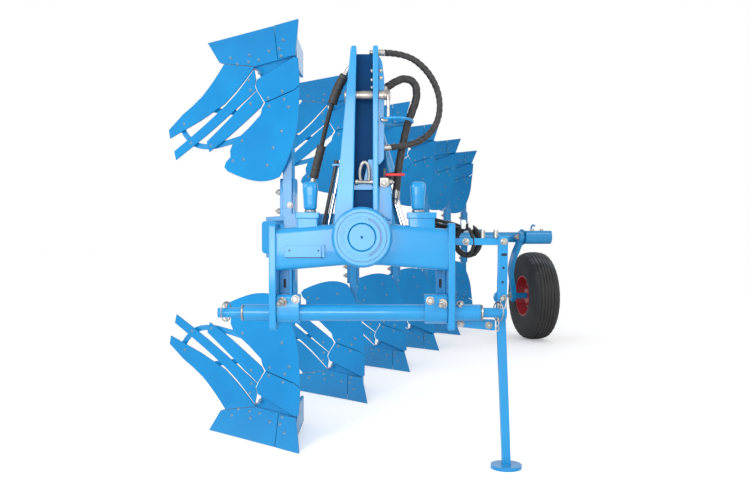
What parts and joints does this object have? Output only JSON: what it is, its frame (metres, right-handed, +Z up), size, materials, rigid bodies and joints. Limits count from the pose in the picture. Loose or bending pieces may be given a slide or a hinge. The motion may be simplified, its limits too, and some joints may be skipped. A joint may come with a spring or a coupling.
{
  "type": "mounted reversible moldboard plough",
  "caption": "Mounted reversible moldboard plough with slatted mouldboards, a turnover headstock, a depth wheel and a parking stand.",
  "frame": {"origin": "middle of the lower hitch axis, on the cross shaft's centre line, halfway between the two lower-link pins", "axes": "+X towards the land side along the cross shaft, +Y to the rear along the plough, +Z up"},
  "size_m": [2.5289, 5.9412, 1.732],
  "materials": {
    "blue_paint": "gloss",
    "rubber": "matt",
    "chrome": "polished",
    "bright_steel": "satin",
    "rim_red": "satin",
    "black_paint": "satin"
  },
  "bodies": {
    "headstock": {"tower_left": "blue_paint", "tower_right": "blue_paint", "tower_back": "blue_paint", "crossbeam": "blue_paint", "hub_housing": "blue_paint", "end_plate_left": "blue_paint", "end_plate_right": "blue_paint", "cross_shaft": "blue_paint", "shaft_clamps": "blue_paint", "top_link_pin": "bright_steel", "stop_blocks": "blue_paint", "stop_caps": "blue_paint", "stand_bracket": "blue_paint", "cylinder_anchor": "blue_paint"},
    "turning_frame": {"turnover_shaft": "bright_steel", "turnover_plate": "blue_paint", "crank_pin": "blue_paint", "turnover_head": "blue_paint", "main_beam": "blue_paint", "legs": "blue_paint", "leg_clamps": "blue_paint", "frogs_lower": "blue_paint", "frogs_upper": "blue_paint", "shares_lower": "blue_paint", "shares_upper": "blue_paint", "share_points_lower": "blue_paint", "share_points_upper": "blue_paint", "shins_lower": "blue_paint", "shins_upper": "blue_paint", "mouldboards_lower": "blue_paint", "mouldboards_upper": "blue_paint", "slats_lower": "blue_paint", "slats_upper": "blue_paint", "wheel_bracket": "blue_paint"},
    "cylinder_barrel": {"turn_cylinder": "blue_paint"},
    "cylinder_rod": {"turn_rod": "chrome"},
    "wheel_carrier": {"wheel_arm": "blue_paint"},
    "wheel": {"wheel_rim": "rim_red", "wheel_tyre": "rubber"},
    "stand": {"stand_leg": "blue_paint"}
  },
  "joints": [
    {"name": "turnover", "type": "hinge", "parent": "headstock", "child": "turning_frame", "pos_m": [0, 0, 0.278], "axis": [0, -1, 0], "range_deg": [0, 180]},
    {"name": "cylinder_swing", "type": "hinge", "parent": "headstock", "child": "cylinder_barrel", "pos_m": [0, 0.176, 0.828], "axis": [0, 1, 0], "range_deg": [0, 33.41]},
    {"name": "rod_slide", "type": "slide", "parent": "cylinder_barrel", "child": "cylinder_rod", "axis": [0.2873, 0, -0.9578], "range_m": [-0.185, 0]},
    {"name": "wheel_swing", "type": "hinge", "parent": "turning_frame", "child": "wheel_carrier", "pos_m": [1.44583, 3.54471, 0.278], "axis": [0.9848, 0.1736, 0], "range_deg": [0, 116]},
    {"name": "wheel_spin", "type": "hinge", "parent": "wheel_carrier", "child": "wheel", "pos_m": [1.392, 3.85, -0.218], "axis": [0.9848, 0.1736, 0], "continuous": true},
    {"name": "stand_swing", "type": "hinge", "parent": "headstock", "child": "stand", "pos_m": [0.516, 0.043, 0.052], "axis": [0, -1, 0], "range_deg": [0, 170]}
  ],
  "couplings": [
    {"joint": "cylinder_swing", "follows": "turnover", "ratio": 0.18555}
  ]
}
